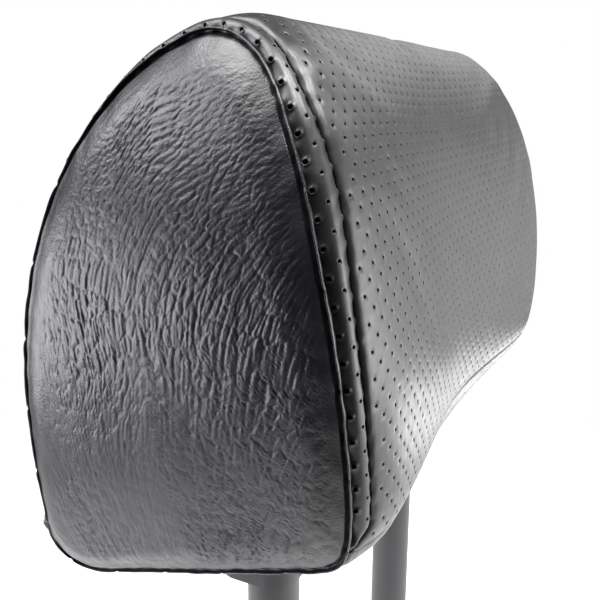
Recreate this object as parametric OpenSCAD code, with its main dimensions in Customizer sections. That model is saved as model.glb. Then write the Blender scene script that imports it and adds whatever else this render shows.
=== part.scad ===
// Two-post headrest with a perforated leather wrap, grain leather side panels,
// a hinged inner carrier, and the two guide sleeves that hold it on a chair back.
// Origin: midway between the guide sleeves, on the plane that their flanges rest on.
// +X runs to the right seen from the front, the front faces -Y, +Z is up.

/* [Cushion] */
// Distance between the two side seams where the cushion is widest
seam_width = 272; // [264:2:280]
// How much closer each side seam comes to the middle at the top
top_taper = 18; // [12:1:20]
// How much closer each side seam comes to the middle at the bottom
bottom_taper = 15; // [10:1:18]
// How deep the front face is dished in the middle
front_dish = 8; // [2:1:10]
// How far the rear face is crowned in the middle
rear_crown = 3; // [1:1:6]
// How far the top is crowned in the middle
top_crown = 1.5; // [0:0.5:4]
// How far the wrap swells beyond the side seams
edge_swell = 5; // [3:1:6]
// How far the side panels bulge outwards
side_bulge = 5; // [3:1:7]
// Width of the narrow strip between the wrap and each side panel
band_width = 8; // [6:1:9]
// How much wider that strip gets where the front turns over into the top
band_flare = 3; // [0:0.5:4]
// Thickness of the laminated leather skin
skin_t = 1.6; // [1.2:0.1:1.8]
// Radius of the topstitch thread
thread_r = 0.4; // [0.3:0.05:0.5]

/* [Posts] */
// Distance between the two post centres
post_spacing = 140; // [136:2:144]
// Outside diameter of the post tube
post_d = 12; // [11:0.5:12]
// Wall thickness of the post tube
post_wall = 2.6; // [2.4:0.1:3]
// How far the posts reach below the flange plane with the cushion fully down
post_below = 150; // [145:5:160]
// Centre-line radius of the two bends
bend_r = 22; // [20:1:24]
// Height of the cross bar, which is the tilt axis
pivot_z = 90; // [88:1:92]
// Distance between two height stops
notch_pitch = 20; // [18:1:20]
// Number of height stops
notch_count = 4; // [3:1:4]
// Largest forward tilt of the cushion, in degrees
tilt_max = 15; // [10:1:15]

/* [Guide sleeves] */
// Outside diameter of the sleeve that presses into the chair back
sleeve_d = 20; // [19.5:0.5:21]
// Length of the sleeve below its flange
sleeve_len = 120; // [110:5:125]
// Radial clearance between a post and its sleeve
slide_clear = 0.1; // [0.05:0.01:0.1]
// Length of a sleeve head
head_l = 38; // [37:1:40]
// Width of a sleeve head
head_w = 30; // [28:1:32]
// Travel of the release button
button_travel = 3; // [2.5:0.5:3]
// Diameter of the lock wire
wire_d = 1.8; // [1.6:0.1:1.8]

/* [Inner carrier] */
// Width of the moulded carrier
carrier_w = 184; // [176:2:188]
// Height of the carrier's lower edge
carrier_z0 = 46; // [45:1:48]
// Height of the carrier's upper edge
carrier_z1 = 150; // [140:1:152]
// Wall thickness of the carrier shells
carrier_t = 2.5; // [2:0.1:3]
// Distance of each pivot bush from the middle
bush_x = 30; // [28:1:32]
// Outside radius of a pivot bush
bush_r = 8.5; // [8:0.1:9]

/* [Hidden] */
$fn = 64;
post_r = post_d / 2;
post_x = post_spacing / 2;
bore_r = post_r + slide_clear;
sleeve_r = sleeve_d / 2;
half_seam = seam_width / 2;

// Side outline at the seams, as [y, z], from the lower front corner up the front,
// over the top, down the rear and forwards along the bottom.
side_outline = [
    [-54, 51], [-56, 70], [-55, 96], [-51, 122], [-44, 148], [-35, 168],
    [-25, 181], [-12, 187], [2, 183], [16, 172], [30, 152], [42, 125],
    [51, 93], [57, 60], [62, 33], [65, 13],
    [53, 4], [22, 15], [-8, 26], [-34, 36], [-48, 42]
];
corner_front = 0;
corner_rear = 15;
// Facets between two points of the outline
sub = 3;
n_ctl = len(side_outline);
n_loop = n_ctl * sub;
j_front = corner_front * sub;
j_rear = corner_rear * sub;

// Heights of the widest, highest and lowest places that the two tapers refer to
widest_z = 122;
outline_top = 191;
outline_bottom = 28;
// Middle of a side panel, as [y, z]
side_centre = [3, 105];
// Share of the half width where the dish ends, and where the edge starts to fall
bolster_u = 0.85;
edge_u = 0.8;
// Share of the swell that is lost on the underside
under_swell = 0.6;
foam_gap = 0.7;
panel_gap = 0.4;
// Where along the outline the strip is widest, over what length, and where it is full
flare_at = 3.9;
flare_length = 0.9;
band_start = 0.5;

// Front-view half width of the cushion at height z
function half_w(z) = z > widest_z
    ? half_seam - top_taper * pow((z - widest_z) / (outline_top - widest_z), 2)
    : half_seam - bottom_taper * pow((widest_z - z) / (widest_z - outline_bottom), 2);

function ctl(k) = side_outline[(k + n_ctl) % n_ctl];

function spline(a, b, c, d, t) =
    0.5 * (2 * b + (c - a) * t + (2 * a - 5 * b + 4 * c - d) * t * t
    + (3 * b - a - 3 * c + d) * t * t * t);

function loop_pt(j) = let (k = floor(j / sub), t = j / sub - k)
    spline(ctl(k - 1), ctl(k), ctl(k + 1), ctl(k + 2), t);

// Outward direction at a place on the outline, in the YZ plane
function loop_out(j) = let (d = loop_pt(j + 0.4) - loop_pt(j - 0.4))
    [-d[1], d[0]] / norm(d);

function crown(n) = (n[0] > 0 ? rear_crown : -front_dish) * n[0] * n[0]
    + (n[1] > 0 ? top_crown : 0) * n[1] * n[1];

function swell(n) = edge_swell * (n[1] < 0 ? 1 - under_swell * n[1] * n[1] : 1);

function across(u) = pow(cos(90 * min(1, abs(u) / bolster_u)), 2);

function edge_drop(u) = pow(max(0, (abs(u) - edge_u) / (1 - edge_u)), 2);

// Point of the cushion surface: j along the outline, u from -1 to 1 across, depth inwards
function skin_pt(j, u, depth) =
    let (
        p = loop_pt(j),
        n = loop_out(j),
        rise = swell(n) * (1 - edge_drop(u)) + crown(n) * across(u) - depth
    )
    [u * (half_w(p[1]) - depth), p[0] + n[0] * rise, p[1] + n[1] * rise];

// Point of a side panel: r is 1 at the seam and 0 at the panel's middle
function side_pt(j, r, depth, s) =
    let (
        rim = skin_pt(j, 1, depth),
        q = side_centre + ([rim[1], rim[2]] - side_centre) * r
    )
    [s * (half_w(q[1]) + side_bulge * (1 - r * r * r) - depth
        - (half_w(rim[2]) - half_w(loop_pt(j)[1])) * r), q[0], q[1]];

// The strip narrows to nothing at the lower front corner
function band_at(j) = let (k = (j - j_front) / sub)
    band_width * min(1, 0.15 + k / band_start)
    + band_flare * exp(-pow((k - flare_at) / flare_length, 2));

function seam_u(j) = 1 - band_at(j) / half_w(loop_pt(j)[1]);

function strip(a, b) = [for (i = [0 : len(a) - 2])
    each [[a[i], b[i], b[i + 1]], [a[i], b[i + 1], a[i + 1]]]];

function row(base, cols, i) = [for (c = [0 : cols - 1]) base + i * cols + c];

function column(base, cols, rows, c) = [for (i = [0 : rows - 1]) base + i * cols + c];

function flipped(faces) = [for (f = faces) [f[2], f[1], f[0]]];

// Closed solid between two open grids of points, given as lists of rows
module sheet(outer, inner) {
    rows = len(outer);
    cols = len(outer[0]);
    n = rows * cols;
    top = [for (i = [0 : rows - 2]) each strip(row(0, cols, i), row(0, cols, i + 1))];
    under = [for (i = [0 : rows - 2]) each strip(row(n, cols, i), row(n, cols, i + 1))];
    edges = concat(
        strip(row(n, cols, 0), row(0, cols, 0)),
        strip(row(0, cols, rows - 1), row(n, cols, rows - 1)),
        strip(column(0, cols, rows, 0), column(n, cols, rows, 0)),
        strip(column(n, cols, rows, cols - 1), column(0, cols, rows, cols - 1))
    );
    polyhedron(
        points = [for (g = [outer, inner]) each [for (r = g) each r]],
        faces = concat(flipped(top), under, flipped(edges))
    );
}

// Closed solid through closed rings of points, with one point at each end
module loft(rings, first, last) {
    cols = len(rings[0]);
    rows = len(rings);
    n = rows * cols;
    wrap_row = function (i) concat(row(0, cols, i), [i * cols]);
    body = [for (i = [0 : rows - 2]) each strip(wrap_row(i), wrap_row(i + 1))];
    head = [for (c = [0 : cols - 1]) [n, c, (c + 1) % cols]];
    tail = [for (c = [0 : cols - 1])
        [n + 1, n - cols + (c + 1) % cols, n - cols + c]];
    polyhedron(
        points = concat([for (r = rings) each r], [first, last]),
        faces = flipped(concat(body, head, tail))
    );
}

// Cushion outline as a closed ring at one station
function ring_at(u, depth) = [for (j = [0 : n_loop - 1]) skin_pt(j, u, depth)];

function side_ring(r, depth, s) = [for (j = [0 : n_loop - 1]) side_pt(j, r, depth, s)];

function side_mid(depth, s) = [s * (half_w(side_centre[1]) + side_bulge - depth),
    side_centre[0], side_centre[1]];

module rounded_plate(l, w, h, r) {
    translate([-l / 2 + r, -w / 2, 0]) cube([l - 2 * r, w, h]);
    translate([-l / 2, -w / 2 + r, 0]) cube([l, w - 2 * r, h]);
    for (sx = [-1, 1], sy = [-1, 1])
        translate([sx * (l / 2 - r), sy * (w / 2 - r), 0]) cylinder(h = h, r = r);
}

// ---------------------------------------------------------------- guide sleeves

flange_t = 2.5;
cap_top = 9;
plain_top = 9;
head_r = 9;
head_step = 1.5;
tip_h = 2;
tip_in = 1.5;
button_gap = 0.3;
wire_r = wire_d / 2;
wire_z = 4.2;
wire_leg_y = 9.2;
wire_rest_x = -(post_r - 0.8);
wire_end_x = 11;
cavity_top = 7.2;
cavity_x0 = -12;
cavity_x1 = 16;
cavity_w = 22;
button_w = 13;
button_top = 6.8;
button_reach = button_travel + 1;

module sleeve_tube() {
    difference() {
        union() {
            translate([0, 0, -sleeve_len + tip_h]) cylinder(h = sleeve_len - tip_h, r = sleeve_r);
            translate([0, 0, -sleeve_len])
                cylinder(h = tip_h, r1 = sleeve_r - tip_in, r2 = sleeve_r);
        }
        translate([0, 0, -sleeve_len - 1]) cylinder(h = sleeve_len + 2, r = bore_r);
    }
}

// Narrower top step of a sleeve head
module head_top() {
    rounded_plate(head_l - 2 * head_step, head_w - 2 * head_step, head_step, head_r - head_step);
}

module guide_sleeve_plain() {
    color([0.07, 0.07, 0.075]) translate([-post_x, 0, 0]) {
        sleeve_tube();
        difference() {
            union() {
                rounded_plate(head_l, head_w, plain_top - head_step, head_r);
                translate([0, 0, plain_top - head_step]) head_top();
            }
            translate([0, 0, -1]) cylinder(h = plain_top + 2, r = bore_r);
        }
    }
}

module guide_sleeve_locking() {
    color([0.07, 0.07, 0.075]) translate([post_x, 0, 0]) {
        sleeve_tube();
        difference() {
            rounded_plate(head_l, head_w, flange_t, head_r);
            translate([0, 0, -1]) cylinder(h = flange_t + 2, r = bore_r);
        }
    }
}

module sleeve_cap() {
    color([0.07, 0.07, 0.075]) translate([post_x, 0, 0]) difference() {
        union() {
            translate([0, 0, flange_t])
                rounded_plate(head_l, head_w, cap_top - head_step - flange_t, head_r);
            translate([0, 0, cap_top - head_step]) head_top();
        }
        translate([0, 0, flange_t - 1]) cylinder(h = cap_top, r = bore_r + button_gap);
        translate([cavity_x0, -cavity_w / 2, flange_t - 1])
            cube([cavity_x1 - cavity_x0, cavity_w, cavity_top - flange_t + 1]);
        translate([0, -button_w / 2 - button_gap, flange_t - 1])
            cube([head_l, button_w + 2 * button_gap, cavity_top - flange_t + 1]);
    }
}

module wire_bar(p, q) {
    d = q - p;
    translate(p) rotate([0, acos(d[2] / norm(d)), atan2(d[1], d[0])])
        cylinder(h = norm(d), r = wire_r, $fn = 24);
}

// Spring wire: one leg lies in a post notch, the bent ends lie behind the button
module lock_wire() {
    a = [wire_rest_x, -wire_leg_y, wire_z];
    b = [wire_rest_x, wire_leg_y, wire_z];
    c = [wire_end_x, wire_leg_y, wire_z];
    d = [wire_end_x, -wire_leg_y, wire_z];
    inner_y = 2.5;
    color([0.72, 0.73, 0.75]) translate([post_x, 0, 0]) {
        wire_bar(a, b);
        wire_bar(b, c);
        wire_bar(a, d);
        wire_bar(c, [wire_end_x, inner_y, wire_z]);
        wire_bar(d, [wire_end_x, -inner_y, wire_z]);
        for (p = [a, b, c, d]) translate(p) sphere(r = wire_r, $fn = 24);
    }
}

module release_button() {
    x0 = wire_end_x + wire_r + 0.2;
    shoulder_x = cavity_x1 - button_gap;
    shoulder_w = button_w + 3;
    x1 = head_l / 2 + button_reach;
    z0 = flange_t + 0.4;
    tip_r = 2;
    color([0.10, 0.10, 0.11]) translate([post_x, 0, 0]) {
        translate([x0, -shoulder_w / 2, z0])
            cube([shoulder_x - x0, shoulder_w, button_top - z0]);
        translate([x0, -button_w / 2, z0]) cube([x1 - tip_r - x0, button_w, button_top - z0]);
        translate([x0, -button_w / 2 + tip_r, z0])
            cube([x1 - x0, button_w - 2 * tip_r, button_top - z0]);
        for (s = [-1, 1]) translate([x1 - tip_r, s * (button_w / 2 - tip_r), z0])
            cylinder(h = button_top - z0, r = tip_r);
    }
}

// ---------------------------------------------------------------- posts

bar_half = post_x - bend_r;
bend_z = pivot_z - bend_r;
notch_depth = 2;
notch_h = wire_d + 0.8;
plug_h = 3;
plug_rim = 1.5;
plug_stem = 12;
plug_gap = 0.2;

// The posts and the cross bar, as one bent round of radius r
module bent_path(r, z0) {
    for (s = [-1, 1]) {
        translate([s * post_x, 0, z0]) cylinder(h = bend_z - z0, r = r);
        translate([s * bar_half, 0, bend_z]) rotate([90, 0, 0])
            rotate([0, 0, s > 0 ? 0 : 90])
                rotate_extrude(angle = 90) translate([bend_r, 0]) circle(r = r);
    }
    translate([-bar_half, 0, pivot_z]) rotate([0, 90, 0]) cylinder(h = 2 * bar_half, r = r);
}

module post_frame() {
    color([0.80, 0.81, 0.83]) difference() {
        bent_path(post_r, -post_below);
        bent_path(post_r - post_wall, -post_below - 1);
        for (k = [0 : notch_count - 1])
            translate([post_x - post_r - 5, -post_r - 1, wire_z - notch_h / 2 - k * notch_pitch])
                cube([5 + notch_depth, post_d + 2, notch_h]);
    }
}

module post_plugs() {
    stem_r = post_r - post_wall - 0.1;
    color([0.08, 0.08, 0.085]) for (s = [-1, 1]) translate([s * post_x, 0, -post_below]) {
        cylinder(h = plug_stem, r = stem_r);
        translate([0, 0, -plug_rim]) cylinder(h = plug_rim, r = post_r - plug_gap);
        translate([0, 0, -plug_h])
            cylinder(h = plug_h - plug_rim, r1 = post_r - plug_rim, r2 = post_r - plug_gap);
    }
}

tab_w = 8;
tab_t = 4;
tab_top = 20;

// Welded to the cross bar; it swings between two ribs of the carrier
module stop_tab() {
    color([0.45, 0.46, 0.48]) translate([0, 0, pivot_z]) difference() {
        translate([-tab_w / 2, -tab_t / 2, 0]) cube([tab_w, tab_t, tab_top]);
        rotate([0, 90, 0]) cylinder(h = tab_w + 2, r = post_r, center = true);
    }
}

// ---------------------------------------------------------------- hinge

rib_w = 8;
bush_clear = 0.05;
clip_x = 12;
clip_w = 7;
clip_t = 1.4;
seat_half = 13;

module pivot_bush(s) {
    flange_w = 1.5;
    color([0.85, 0.84, 0.80]) translate([s * bush_x, 0, pivot_z]) rotate([0, 90, 0]) difference() {
        union() {
            cylinder(h = rib_w + 0.4, r = bush_r, center = true);
            for (e = [-1, 1]) translate([0, 0, e * (rib_w / 2 + 0.2 + flange_w / 2)])
                cylinder(h = flange_w, r = bush_r + 2, center = true);
        }
        cylinder(h = rib_w + 8, r = post_r + bush_clear, center = true);
        translate([-bush_r - 4, -0.6, -rib_w]) cube([bush_r + 4, 1.2, 2 * rib_w]);
    }
}

module pivot_bush_left() { pivot_bush(-1); }
module pivot_bush_right() { pivot_bush(1); }

// Spring steel band that grips the cross bar, with a foot screwed to the rear shell
module friction_clip(s) {
    foot_y = rear_inner_y - clip_t;
    foot_h = 14;
    color([0.60, 0.61, 0.63]) translate([s * clip_x, 0, pivot_z]) {
        rotate([0, 90, 0]) difference() {
            cylinder(h = clip_w, r = post_r + bush_clear + clip_t, center = true);
            cylinder(h = clip_w + 2, r = post_r + bush_clear, center = true);
            translate([-0.1, -20, -clip_w]) cube([20, 20, 2 * clip_w]);
        }
        translate([-clip_w / 2, 0, -post_r - bush_clear - clip_t])
            cube([clip_w, foot_y + clip_t, clip_t]);
        difference() {
            translate([-clip_w / 2, foot_y, -post_r - bush_clear - foot_h])
                cube([clip_w, clip_t, foot_h]);
            translate([0, foot_y - 1, -clip_screw_drop]) rotate([-90, 0, 0])
                cylinder(h = clip_t + 2, r = screw_r + 0.1);
        }
    }
}

module friction_clip_left() { friction_clip(-1); }
module friction_clip_right() { friction_clip(1); }

// ---------------------------------------------------------------- carrier

front_face_y = -28;
rear_face_y = 16.5;
rear_inner_y = rear_face_y - carrier_t;
front_inner_y = front_face_y + carrier_t;
joint_gap = 0.1;
screw_r = 1.5;
screw_head_r = 3.2;
screw_head_h = 2;
boss_r = 4.4;
boss_x = carrier_w / 2 - 7;
boss_z = [carrier_z0 + 9, carrier_z1 - 9];
clip_screw_drop = 15;
slot_x = post_r + 1.6;
slot_depth = post_r + 2.6;
stop_front_y = -tab_t / 2 - 0.1;
stop_z0 = pivot_z + post_r + 3;
stop_h = 14;
stop_half = tab_w / 2 + 2;
rib_overlap = 0.5;
stop_rear_y = tab_top * sin(tilt_max) + tab_t / 2 * cos(tilt_max) + 0.2;

module carrier_tray(y0, y1, open_to_front) {
    inner_y0 = open_to_front ? y0 - 1 : y0 + carrier_t;
    inner_y1 = open_to_front ? y1 - carrier_t : y1 + 1;
    difference() {
        translate([-carrier_w / 2, y0, carrier_z0])
            cube([carrier_w, y1 - y0, carrier_z1 - carrier_z0]);
        translate([-carrier_w / 2 + carrier_t, inner_y0, carrier_z0 + carrier_t])
            cube([carrier_w - 2 * carrier_t, inner_y1 - inner_y0,
                carrier_z1 - carrier_z0 - 2 * carrier_t]);
        for (s = [-1, 1])
            translate([s * post_x - slot_x, inner_y0, carrier_z0 - 1])
                cube([2 * slot_x, open_to_front ? slot_depth : y1 - y0, carrier_t + 2]);
    }
}

// Vertical rib that carries half of a bush seat
module seat_rib(s, y0, y1) {
    difference() {
        translate([s * bush_x - rib_w / 2, y0, pivot_z - seat_half])
            cube([rib_w, y1 - y0, 2 * seat_half]);
        translate([s * bush_x, 0, pivot_z]) rotate([0, 90, 0])
            cylinder(h = rib_w + 2, r = bush_r + 0.03, center = true);
    }
}

module carrier_rear() {
    color([0.16, 0.16, 0.17]) difference() {
        union() {
            carrier_tray(joint_gap / 2, rear_face_y, true);
            for (s = [-1, 1]) {
                seat_rib(s, joint_gap / 2, rear_inner_y + rib_overlap);
                for (z = boss_z) translate([s * boss_x, joint_gap / 2, z])
                    rotate([-90, 0, 0]) cylinder(h = rear_inner_y, r = boss_r);
            }
            translate([-stop_half, stop_rear_y, stop_z0])
                cube([2 * stop_half, rear_inner_y + rib_overlap - stop_rear_y, stop_h]);
        }
        for (s = [-1, 1]) {
            for (z = boss_z) translate([s * boss_x, -1, z])
                rotate([-90, 0, 0]) cylinder(h = rear_face_y + 2, r = screw_r + 0.2);
            translate([s * clip_x, rear_inner_y - 1, pivot_z - clip_screw_drop])
                rotate([-90, 0, 0]) cylinder(h = carrier_t + 2, r = screw_r + 0.1);
        }
    }
}

module carrier_front() {
    color([0.16, 0.16, 0.17]) difference() {
        union() {
            carrier_tray(front_face_y, -joint_gap / 2, false);
            for (s = [-1, 1]) {
                seat_rib(s, front_inner_y - rib_overlap, -joint_gap / 2);
                for (z = boss_z) translate([s * boss_x, front_inner_y - rib_overlap, z])
                    rotate([-90, 0, 0])
                        cylinder(h = -front_inner_y + rib_overlap - joint_gap / 2, r = boss_r);
            }
            translate([-stop_half, front_inner_y - rib_overlap, stop_z0])
                cube([2 * stop_half, stop_front_y - front_inner_y + rib_overlap, stop_h]);
        }
        for (s = [-1, 1], z = boss_z) translate([s * boss_x, -14, z])
            rotate([-90, 0, 0]) cylinder(h = 15, r = screw_r + 0.02);
    }
}

module pan_screw(length) {
    rotate([90, 0, 0]) {
        cylinder(h = length, r = screw_r);
        translate([0, 0, -screw_head_h]) difference() {
            cylinder(h = screw_head_h, r = screw_head_r);
            translate([-0.5, -2, -1]) cube([1, 4, 2]);
            translate([-2, -0.5, -1]) cube([4, 1, 2]);
        }
    }
}

module carrier_screws() {
    color([0.55, 0.56, 0.58]) for (s = [-1, 1], z = boss_z)
        translate([s * boss_x, rear_face_y, z]) pan_screw(28);
}

module clip_screws() {
    color([0.55, 0.56, 0.58]) for (s = [-1, 1])
        translate([s * clip_x, rear_face_y, pivot_z - clip_screw_drop]) pan_screw(6);
}

// ---------------------------------------------------------------- foam and covers

// Place on the sloping underside that the two post openings are centred on
bezel_y = -8.5;
bezel_z = 23.5;
bezel_tilt = -20.5;
slot_len = 36;
slot_w = post_d + 2;
bezel_t = 2;
bezel_drop = 0.5;
neck_t = 1.5;
neck_h = 12;

module at_bezel(s) {
    translate([s * post_x, bezel_y, bezel_z]) rotate([bezel_tilt, 0, 0]) children();
}

module closure_space() {
    translate([-closure_len / 2 - 1, closure_y - 8, closure_z - 5])
        cube([closure_len + 2, 16, 12]);
}

module foam_core() {
    depth = skin_t + foam_gap;
    side_r = [0.2, 0.5, 0.75, 0.92];
    stations = [-1, -0.94, -0.87, -0.78, -0.66, -0.5, -0.33, -0.16, 0,
        0.16, 0.33, 0.5, 0.66, 0.78, 0.87, 0.94, 1];
    rings = concat(
        [for (r = side_r) side_ring(r, depth, -1)],
        [for (u = stations) ring_at(u, depth)],
        [for (i = [len(side_r) - 1 : -1 : 0]) side_ring(side_r[i], depth, 1)]
    );
    room = 0.4;
    color([0.86, 0.80, 0.62]) difference() {
        loft(rings, side_mid(depth, -1), side_mid(depth, 1));
        translate([-carrier_w / 2 - room, front_face_y - room, carrier_z0 - room])
            cube([carrier_w + 2 * room, rear_face_y - front_face_y + screw_head_h + 2 * room,
                carrier_z1 - carrier_z0 + 2 * room]);
        for (s = [-1, 1]) {
            at_bezel(s)
                translate([-slot_w / 2 - neck_t - room, -slot_len / 2 - neck_t - room, -8])
                    cube([slot_w + 2 * (neck_t + room), slot_len + 2 * (neck_t + room),
                        8 + neck_h + room]);
            translate([s * post_x - slot_w / 2, bezel_y - slot_len / 2 + 2, bezel_z])
                cube([slot_w, slot_len - 4, carrier_z0 - bezel_z]);
        }
        closure_space();
    }
}

wrap_u = [-1, -0.93, -0.85, -0.75, -0.6, -0.4, -0.2, 0, 0.2, 0.4, 0.6, 0.75, 0.85, 0.93, 1];

function wrap_grid(depth) = [for (w = wrap_u) [for (j = [j_front : j_rear])
    skin_pt(j, w * (seam_u(j) - panel_gap / 2 / half_seam), depth)]];

module wrap_panel() {
    color([0.09, 0.09, 0.095]) sheet(wrap_grid(0), wrap_grid(skin_t));
}

function band_grid(s, depth) = [for (w = s > 0 ? [0, 0.5, 1] : [1, 0.5, 0])
    [for (j = [j_front : j_rear]) let (
        u0 = seam_u(j) + panel_gap / 2 / half_seam,
        u1 = 1 - panel_gap / 4 / half_seam
    ) skin_pt(j, s * (u0 + (u1 - u0) * w), depth)]];

module seam_band(s) {
    color([0.09, 0.09, 0.095]) sheet(band_grid(s, 0), band_grid(s, skin_t));
}

module seam_band_left() { seam_band(-1); }
module seam_band_right() { seam_band(1); }

// Domed leather panel over one end of the foam
module side_panel(s) {
    rings_out = [for (r = [0.994, 0.93, 0.82, 0.6, 0.3]) side_ring(r, 0, s)];
    rings_in = [for (r = [0.3, 0.6, 0.82, 0.93, 0.994]) side_ring(r, skin_t, s)];
    out_mid = side_mid(0, s);
    in_mid = side_mid(skin_t, s);
    all_rings = concat(rings_in, rings_out);
    color([0.11, 0.11, 0.12])
        if (s > 0) loft(all_rings, in_mid, out_mid);
        else loft([for (i = [len(all_rings) - 1 : -1 : 0]) all_rings[i]], out_mid, in_mid);
}

module side_panel_left() { side_panel(-1); }
module side_panel_right() { side_panel(1); }

function bottom_grid(depth) = [for (w = wrap_u) [for (j = [j_rear : n_loop])
    let (edge = (j == j_rear || j == n_loop) ? 0.15 * (j == j_rear ? 1 : -1) : 0)
    skin_pt(j + edge, w * (1 - panel_gap / half_seam), depth)]];

module bottom_panel() {
    color([0.10, 0.10, 0.105]) difference() {
        sheet(bottom_grid(0), bottom_grid(skin_t));
        for (s = [-1, 1]) at_bezel(s)
            translate([-slot_w / 2 - neck_t - 0.3, -slot_len / 2 - neck_t - 0.3, -12])
                cube([slot_w + 2 * neck_t + 0.6, slot_len + 2 * neck_t + 0.6, 24]);
    }
}

// Plastic mouth round each post opening in the underside
module post_bezels() {
    flange_l = slot_len + 10;
    flange_w = slot_w + 10;
    color([0.06, 0.06, 0.065]) for (s = [-1, 1]) at_bezel(s) difference() {
        union() {
            translate([0, 0, -bezel_t - bezel_drop])
                rounded_plate(flange_w, flange_l, bezel_t, 6);
            translate([-slot_w / 2 - neck_t, -slot_len / 2 - neck_t, -bezel_drop - 0.1])
                cube([slot_w + 2 * neck_t, slot_len + 2 * neck_t, neck_h + bezel_drop]);
        }
        translate([-slot_w / 2, -slot_len / 2, -20]) cube([slot_w, slot_len, 60]);
    }
}

closure_y = 40;
closure_z = 14;
closure_len = 190;

// J-section strips sewn to the lower edges of the cover; they hook together
module closure_strip(turn) {
    color([0.20, 0.20, 0.21]) translate([-closure_len / 2, closure_y, closure_z])
        rotate([turn, 0, 0]) {
            translate([0, -1.9, 0.3]) cube([closure_len, 1.2, 4.2]);
            translate([0, -1.9, 3.6]) cube([closure_len, 3.2, 1.2]);
            translate([0, 0.45, 1.6]) cube([closure_len, 1.0, 3]);
        }
}

module closure_hook_wrap() { closure_strip(0); }
module closure_hook_panel() { closure_strip(180); }

function thread_ring(p, along, out) = let (side = cross(along, out))
    [for (a = [0 : 60 : 300]) p + thread_r * (cos(a) * out - sin(a) * side)];

// Line of topstitching along the inner seam of one strip
module topstitch(s) {
    // Place, direction along the seam, and direction out of the leather
    path = [for (j = [j_front + 1 : 0.5 : j_rear - 1])
        let (
            p = skin_pt(j, s * seam_u(j), -thread_r - 0.05),
            q = skin_pt(j, s * seam_u(j), -2),
            t = skin_pt(j + 0.4, s * seam_u(j + 0.4), 0)
                - skin_pt(j - 0.4, s * seam_u(j - 0.4), 0)
        )
        [p, t / norm(t), (q - p) / norm(q - p)]];
    rings = [for (f = path) let (o = f[2] - f[1] * (f[2] * f[1]))
        thread_ring(f[0], f[1], o / norm(o))];
    last = len(path) - 1;
    color([0.05, 0.05, 0.055]) loft(rings, path[0][0], path[last][0]);
}

module topstitch_left() { topstitch(-1); }
module topstitch_right() { topstitch(1); }

// ---------------------------------------------------------------- nodes

guide_sleeve_plain();
guide_sleeve_locking();
sleeve_cap();
lock_wire();
release_button();
post_frame();
post_plugs();
stop_tab();
pivot_bush_left();
pivot_bush_right();
friction_clip_left();
friction_clip_right();
carrier_rear();
carrier_front();
carrier_screws();
clip_screws();
foam_core();
wrap_panel();
seam_band_left();
seam_band_right();
side_panel_left();
side_panel_right();
bottom_panel();
post_bezels();
closure_hook_wrap();
closure_hook_panel();
topstitch_left();
topstitch_right();
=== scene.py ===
"""Looks of the two-post leather headrest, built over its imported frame."""

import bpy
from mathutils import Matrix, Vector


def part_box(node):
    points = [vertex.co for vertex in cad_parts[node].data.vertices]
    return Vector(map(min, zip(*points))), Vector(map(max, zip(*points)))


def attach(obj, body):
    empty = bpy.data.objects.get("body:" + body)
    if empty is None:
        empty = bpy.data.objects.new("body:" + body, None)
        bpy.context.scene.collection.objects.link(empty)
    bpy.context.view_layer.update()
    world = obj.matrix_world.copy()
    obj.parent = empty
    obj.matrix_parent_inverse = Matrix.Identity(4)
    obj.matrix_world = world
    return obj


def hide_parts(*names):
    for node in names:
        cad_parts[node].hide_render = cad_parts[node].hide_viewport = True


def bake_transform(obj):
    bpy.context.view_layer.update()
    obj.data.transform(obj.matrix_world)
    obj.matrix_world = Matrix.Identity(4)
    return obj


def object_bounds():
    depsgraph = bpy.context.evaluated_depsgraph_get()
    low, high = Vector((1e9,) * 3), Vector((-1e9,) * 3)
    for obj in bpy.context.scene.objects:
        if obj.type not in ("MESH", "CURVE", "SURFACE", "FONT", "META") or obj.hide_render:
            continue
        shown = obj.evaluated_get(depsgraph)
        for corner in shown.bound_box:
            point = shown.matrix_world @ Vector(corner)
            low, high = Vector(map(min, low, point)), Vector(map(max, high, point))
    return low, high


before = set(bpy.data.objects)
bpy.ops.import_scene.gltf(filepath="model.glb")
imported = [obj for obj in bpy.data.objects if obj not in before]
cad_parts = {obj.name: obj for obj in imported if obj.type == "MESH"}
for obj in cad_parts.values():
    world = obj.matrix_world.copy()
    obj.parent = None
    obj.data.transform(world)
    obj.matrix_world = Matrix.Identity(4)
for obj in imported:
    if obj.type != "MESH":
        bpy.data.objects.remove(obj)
cad_box = [list(corner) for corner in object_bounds()]

import math

import bmesh
import bpy
import numpy as np
from mathutils import Matrix, Vector
from mathutils.bvhtree import BVHTree
from mathutils.kdtree import KDTree

MM = 0.001
CUSHION = "cushion"

# ------------------------------------------------------------------ cushion surface, in mm

HALF_SEAM = 136.0
TOP_TAPER = 18.0
BOTTOM_TAPER = 15.0
FRONT_DISH = 8.0
REAR_CROWN = 3.0
TOP_CROWN = 1.5
EDGE_SWELL = 5.0
SIDE_BULGE = 5.0
BAND, BAND_FLARE = 8.0, 3.0
WIDEST_Z, OUTLINE_TOP, OUTLINE_BOTTOM = 122.0, 191.0, 28.0
SIDE_MID = np.array([3.0, 105.0])
BOLSTER_U, EDGE_U = 0.85, 0.8
UNDER_FLATTER = 0.6

# Side outline at the seams as (y, z), from the lower front corner up, over and round
OUTLINE = np.array([
    (-54, 51), (-56, 70), (-55, 96), (-51, 122), (-44, 148), (-35, 168),
    (-25, 181), (-12, 187), (2, 183), (16, 172), (30, 152), (42, 125),
    (51, 93), (57, 60), (62, 33), (65, 13),
    (53, 4), (22, 15), (-8, 26), (-34, 36), (-48, 42),
], float)
N_CTL = len(OUTLINE)
T_FRONT, T_REAR = 0.0, 15.0


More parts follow.
